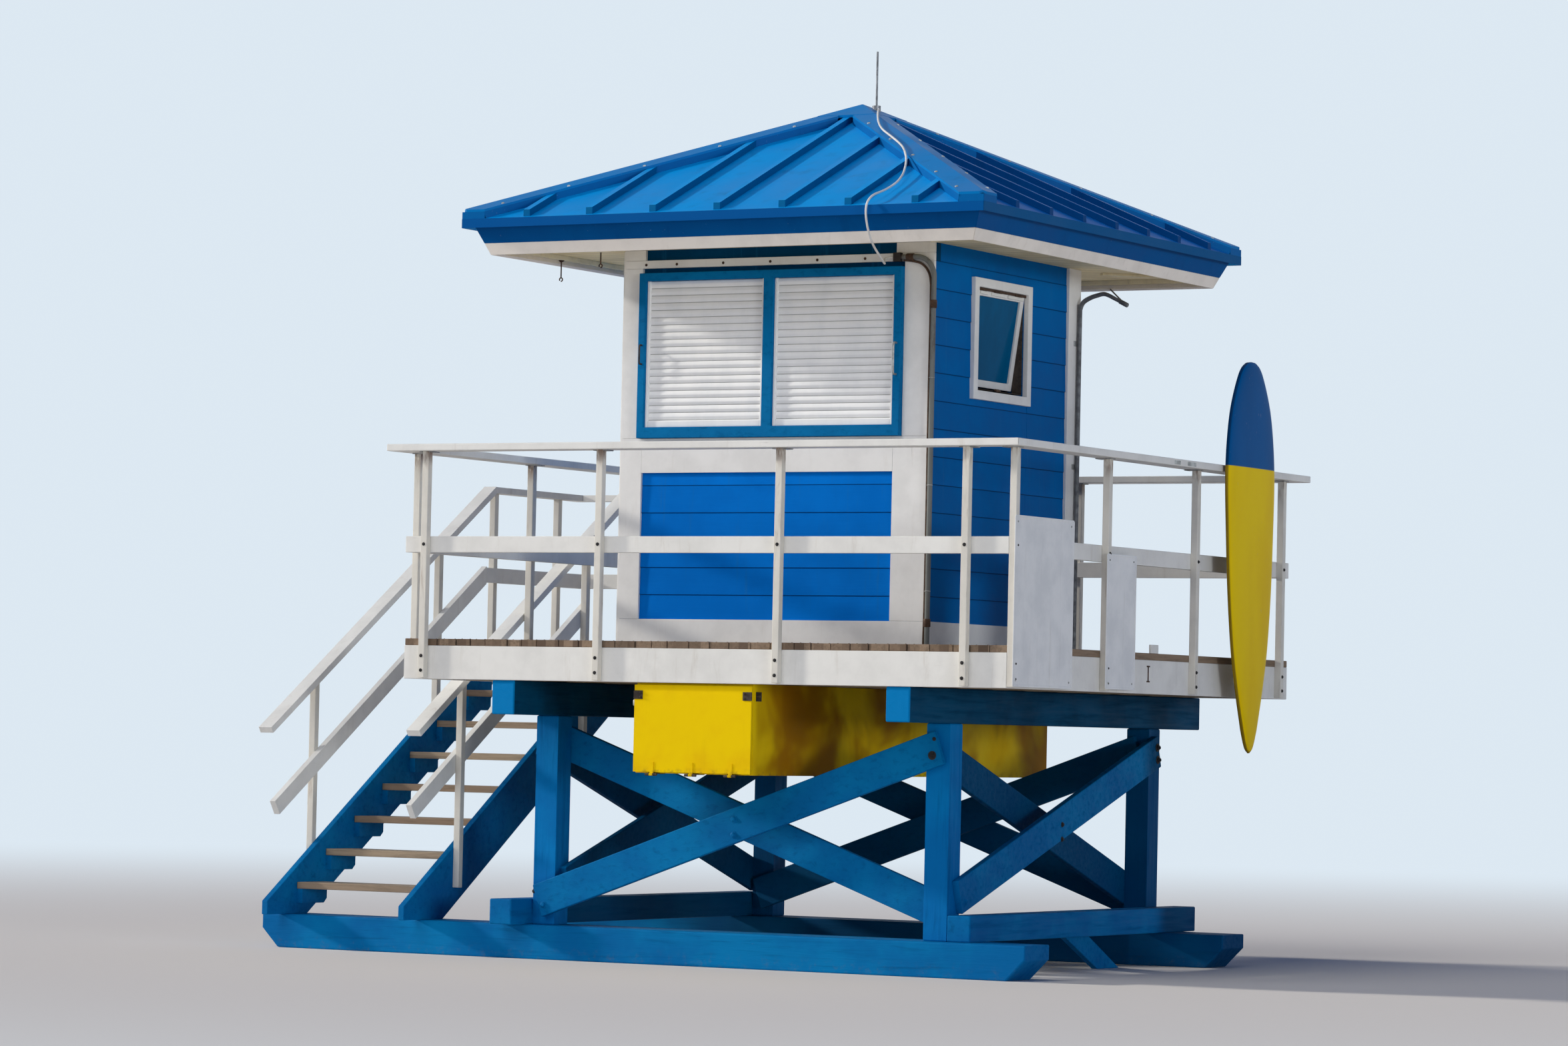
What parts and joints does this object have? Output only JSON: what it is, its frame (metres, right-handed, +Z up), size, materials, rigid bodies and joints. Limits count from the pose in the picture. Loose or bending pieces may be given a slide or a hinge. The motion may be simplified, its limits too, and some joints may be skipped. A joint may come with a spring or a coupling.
{
  "type": "lifeguard tower",
  "caption": "Small hut on a raised railed deck over skids, with a hip roof, roller shutters, a side stair and a locker under the deck.",
  "frame": {"origin": "middle of the part's box, on the floor", "axes": "+X along the skids away from the stair, -Y to the shuttered front, +Z up"},
  "size_m": [5.043, 3.73, 5.124],
  "materials": {
    "blue_timber": "painted blue timber, worn at the edges",
    "raw_timber": "unpainted weathered softwood",
    "white_timber": "white painted timber with stains",
    "weathered_boards": "brown weathered boards",
    "rail_post_metal": "off-white painted square tube with rust stains",
    "blue_siding": "blue painted lap siding",
    "white_trim": "white painted boards",
    "blue_door": "blue painted door",
    "blue_frame": "blue painted frame",
    "shutter_slats": "white painted slats",
    "window_pane": "dark tinted glass",
    "roof_metal": "blue painted sheet with seams",
    "roof_fascia": "blue painted eave boards",
    "cream_soffit": "cream painted boards",
    "antenna_metal": "thin steel whip",
    "cable_jacket": "white and grey cable jacket",
    "conduit_grey": "grey painted conduit",
    "dark_pipe": "dark grey pipe",
    "yellow_locker": "yellow painted plywood, stained",
    "hinge_metal": "rusty steel",
    "board_skin": "yellow and blue glossy skin, dark edge"
  },
  "bodies": {
    "tower": {"skids": "blue_timber", "sills": "blue_timber", "posts": "blue_timber", "headers": "blue_timber", "braces": "blue_timber", "joists": "raw_timber", "deck_fascia": "white_timber", "deck": "weathered_boards", "guard_posts": "rail_post_metal", "guard_caps": "white_timber", "guard_mid_rails": "white_timber", "stair_stringers": "blue_timber", "stair_treads": "weathered_boards", "tread_cleats": "blue_timber", "stair_rails": "white_timber", "wall_front": "blue_siding", "wall_rear": "blue_siding", "wall_left": "blue_siding", "wall_right": "blue_siding", "hut_trim": "white_trim", "entrance_door": "blue_door", "shutter_frame": "blue_frame", "shutter_curtains": "shutter_slats", "window_frame": "white_trim", "window_sash": "white_trim", "window_glass": "window_pane", "roof_front": "roof_metal", "roof_right": "roof_metal", "roof_rear": "roof_metal", "roof_left": "roof_metal", "hip_caps": "roof_metal", "upper_fascia": "roof_fascia", "lower_fascia": "white_trim", "soffit": "cream_soffit", "antenna": "antenna_metal", "antenna_cable": "cable_jacket", "wall_conduit": "conduit_grey", "lamp_arm": "dark_pipe", "locker_body": "yellow_locker", "locker_hinges": "hinge_metal", "long_board": "board_skin", "board_blocks": "white_timber"},
    "locker_door": {"locker_door": "yellow_locker"}
  },
  "joints": [
    {"name": "locker_door_hinge", "type": "hinge", "parent": "tower", "child": "locker_door", "pos_m": [0.4925, -1.753, 1.036], "axis": [1, 0, 0], "range_deg": [0, 170]}
  ]
}
